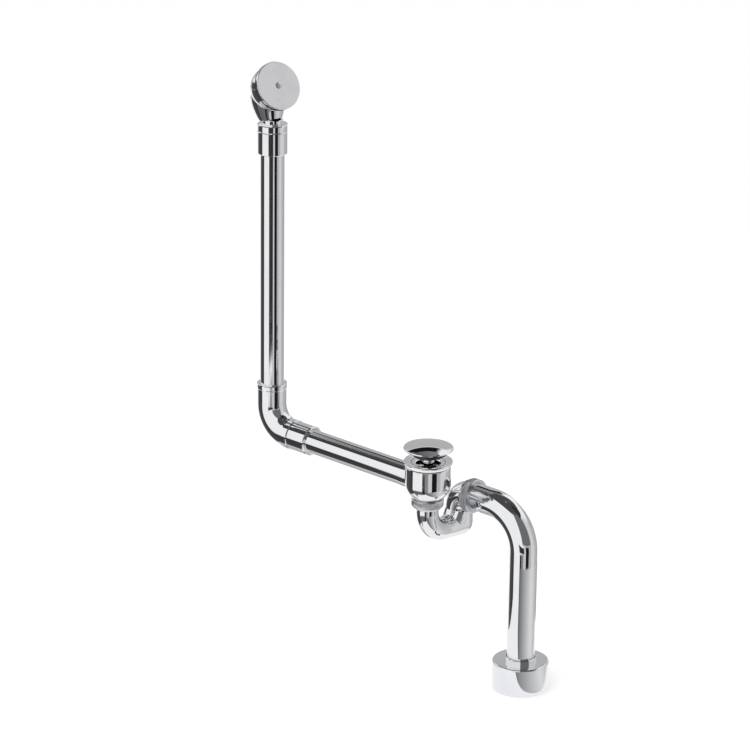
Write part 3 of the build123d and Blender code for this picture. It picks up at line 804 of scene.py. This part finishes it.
@dataclass
class Studio:
    """White studio: pale floor, flags, soft sun and plain world.

    Attributes:
        floor_z: Height of the floor in metres.
        floor_r: Radius of the floor.
        floor_sides: Number of the floor's sides.
        floor_grey: Colour of the floor.
        floor_lift: Brightness added to the floor for the camera and the metal.
        floor_fade: Distances between which the floor fades out.
        ambient: World strength for everything but camera, gloss and transmission.
        sun_power: Strength of the soft sun.
        sun_size: Angle of the sun in degrees, which sets how soft the shadow is.
        sun_from: Bearing and elevation that the sun shines from, in degrees.
        outlet_axis: Place of the outlet pipe's upright part.
        sheet_edge: Place along X where the white sheet under the outlet ends.
        sheet_gap: Step from the floor down to the sheet, and from there to the fans.
        fan_radii: Inner and outer radius of the fans.
        dome_gap: Step in radius from one flag to the next, so that none lie in one another.
    """

    floor_z: float
    outlet_axis: tuple[float, float]
    floor_r: float = 3.0
    floor_sides: int = 96
    floor_grey: float = 0.80
    floor_lift: float = 0.26
    floor_fade: tuple[float, float] = (0.9, 2.7)
    ambient: float = 0.95
    sun_power: float = 0.75
    sun_size: float = 50.0
    sun_from: tuple[float, float] = (-2.0, 48.0)
    sheet_edge: float = 0.183
    sheet_gap: float = 0.5 * MM
    fan_radii: tuple[float, float] = (0.02, 0.50)
    dome_gap: float = 0.05

    def build(self) -> None:
        """Build the whole studio."""
        self.world()
        self.floor()
        self.sun()
        low, wide = self.floor_z - self.sheet_gap, (-0.10, self.sheet_edge)
        ring = (self.fan_radii, self.outlet_axis, low - self.sheet_gap)
        cards = (
            FloorSheet("white sheet", (1.0, 1.0), (0.06, 0.0), (-0.32, 0.36), wide, low),
            FloorFan("darker floor", (0.13, 0.82), (0.01, 0.0), (12.0, 114.0), *ring),
            FloorFan("paler floor", (0.82, 0.30), (0.01, 0.0), (114.0, 206.0), *ring),
        )
        for card in cards:
            card.build()
        for step, flag in enumerate(FLAGS):
            replace(flag, radius=flag.radius + self.dome_gap * step).build()
            log.info("%s hung", flag.title)

    def white_ray(self, graph: Graph) -> bpy.types.NodeSocket:
        """Mask that is 1 for camera, glossy and transmission rays.

        Args:
            graph: Graph that takes the mask.

        Returns:
            The output with the mask.
        """
        path = graph.add("ShaderNodeLightPath")
        camera, gloss = path.outputs["Is Camera Ray"], path.outputs["Is Glossy Ray"]
        seen = graph.combined("MAXIMUM", camera, gloss)
        return graph.combined("MAXIMUM", seen, path.outputs["Is Transmission Ray"])

    def world(self) -> None:
        """White world for camera and metal, plain soft light for the rest."""
        world = bpy.data.worlds.new("white studio")
        bpy.context.scene.world = world
        graph = empty_graph(world)
        soft = graph.add("ShaderNodeBackground", {"Color": WHITE, "Strength": self.ambient})
        white = graph.add("ShaderNodeBackground", {"Color": WHITE, "Strength": 1.0})
        sky = (soft.outputs["Background"], white.outputs["Background"])
        out = graph.add("ShaderNodeOutputWorld")
        graph.join(graph.mixed(self.white_ray(graph), *sky), out.inputs["Surface"])

    def floor(self) -> None:
        """Pale round floor that keeps the shadow and runs out into the white background."""
        turn = np.linspace(0.0, 2.0 * np.pi, self.floor_sides, endpoint=False)
        points = np.stack([np.cos(turn), np.sin(turn), 0 * turn], -1) * self.floor_r
        points[:, 2] = self.floor_z
        mesh = bpy.data.meshes.new("floor")
        mesh.from_pydata(points.tolist(), [], [list(range(len(points)))])
        floor = add_object("floor", mesh)
        floor.visible_glossy = False
        mesh.materials.append(self.floor_material())

    def floor_material(self) -> bpy.types.Material:
        """Matt grey, lifted for camera and metal, that turns clear towards the floor's rim."""
        material = bpy.data.materials.new("pale floor")
        graph = empty_graph(material)
        grey = (self.floor_grey, self.floor_grey, self.floor_grey, 1.0)
        matt = graph.add("ShaderNodeBsdfDiffuse", {"Color": grey})
        lift = graph.add("ShaderNodeEmission", {"Color": WHITE})
        strength = graph.scaled(self.white_ray(graph), 0.0, self.floor_lift)
        graph.join(strength, lift.inputs["Strength"])
        both = graph.add("ShaderNodeAddShader")
        graph.join(matt.outputs["BSDF"], both.inputs[0])
        graph.join(lift.outputs["Emission"], both.inputs[1])
        place = graph.add("ShaderNodeTexCoord")
        reach = graph.add("ShaderNodeVectorMath", operation="LENGTH")
        graph.join(place.outputs["Object"], reach.inputs[0])
        far = graph.add(
            "ShaderNodeMapRange",
            {"From Min": self.floor_fade[0], "From Max": self.floor_fade[1]},
            interpolation_type="SMOOTHSTEP",
        )
        graph.join(reach.outputs["Value"], far.inputs["Value"])
        clear = graph.add("ShaderNodeBsdfTransparent")
        mix = graph.mixed(far.outputs["Result"], both.outputs["Shader"], clear.outputs["BSDF"])
        out = graph.add("ShaderNodeOutputMaterial")
        graph.join(mix, out.inputs["Surface"])
        return material

    def sun(self) -> None:
        """One wide, soft sun from the front."""
        lamp = bpy.data.lights.new("soft sun", "SUN")
        lamp.energy = self.sun_power
        lamp.angle = math.radians(self.sun_size)
        sun = add_object("soft sun", lamp)
        sun.rotation_mode = "QUATERNION"
        sun.rotation_quaternion = Vector(heading(*self.sun_from)).to_track_quat("Z", "Y")
        sun.visible_glossy = False


@dataclass
class PhotoCamera:
    """Camera at the photograph's angle.

    Attributes:
        bearing: Bearing it looks from, in degrees.
        height: Elevation it looks from.
        roll: Roll about its own line of sight.
        distance: Distance along the line of sight in metres.
        aside: Shift to its own right.
        lifted: Shift upwards in its own frame.
        lens: Focal length in millimetres.
        sensor: Width of the sensor in millimetres.
        clip: Nearest and farthest distance that it shows.
    """

    bearing: float = 42.48
    height: float = 20.07
    roll: float = 0.69
    distance: float = 5.510
    aside: float = -0.08015
    lifted: float = 0.13445
    lens: float = 175.68
    sensor: float = 36.0
    clip: tuple[float, float] = (0.1, 60.0)

    def build(self) -> bpy.types.Object:
        """Place the camera.

        Returns:
            The camera.
        """
        turn, roll = math.radians(self.bearing), math.radians(self.roll)
        back = Vector(heading(self.bearing, self.height))
        level = Vector((math.cos(turn), math.sin(turn), 0.0))
        upright = back.cross(level)
        right = level * math.cos(roll) + upright * math.sin(roll)
        top = -level * math.sin(roll) + upright * math.cos(roll)
        place = back * self.distance + right * self.aside + top * self.lifted
        lens = bpy.data.cameras.new("photo camera")
        lens.lens = self.lens
        lens.sensor_width = self.sensor
        lens.sensor_fit = "HORIZONTAL"
        lens.clip_start, lens.clip_end = self.clip
        camera = add_object("photo camera", lens)
        turned = Matrix((right, top, back)).transposed().to_4x4()
        camera.matrix_world = Matrix.Translation(place) @ turned
        bpy.context.scene.camera = camera
        return camera


def clear_startup() -> None:
    """Remove what an empty scene starts with."""
    kept = set(frame["nodes"].values()) | set(frame["bodies"].values())
    for item in list(bpy.data.objects):
        if item not in kept:
            bpy.data.objects.remove(item)


def main() -> None:
    """Build the scene in order and report each part."""
    clear_startup()
    wardrobe = Wardrobe()
    wardrobe.build()
    wardrobe.dress_nodes()
    nuts = (
        KnurledNut(
            "trap_inlet_nut", Axis.UP, 20.5 * MM, 17.5 * MM, 2.5 * MM, False, 96,
            lip_edge=(3.8 * MM, 4.2 * MM), knurl_depth=0.35 * MM, land=1.1 * MM,
        ),
        KnurledNut("trap_outlet_nut", Axis.ALONG_ARM, 24.4 * MM, 21.8 * MM, 2.2 * MM, True, 104),
    )
    for nut in nuts:
        piece = nut.build()
        wardrobe.dress(piece, "satin_nut")
        log.info("%s built with %d ridges", piece.name, nut.ridges)
    spring = SqueezedSpring("plug_spring", "plug_lift").build()
    wardrobe.dress(spring, NODE_FINISH["plug_spring"])
    low, high = (np.array(corner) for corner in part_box("cover_ring"))
    Studio(floor_z=CAD_BOX[0][2], outlet_axis=tuple((low + high)[:2] / 2)).build()
    PhotoCamera().build()
    bpy.context.scene.view_settings.view_transform = "Standard"


if __name__ == "__main__":
    logging.basicConfig(level=logging.INFO, format="%(message)s")
    main()
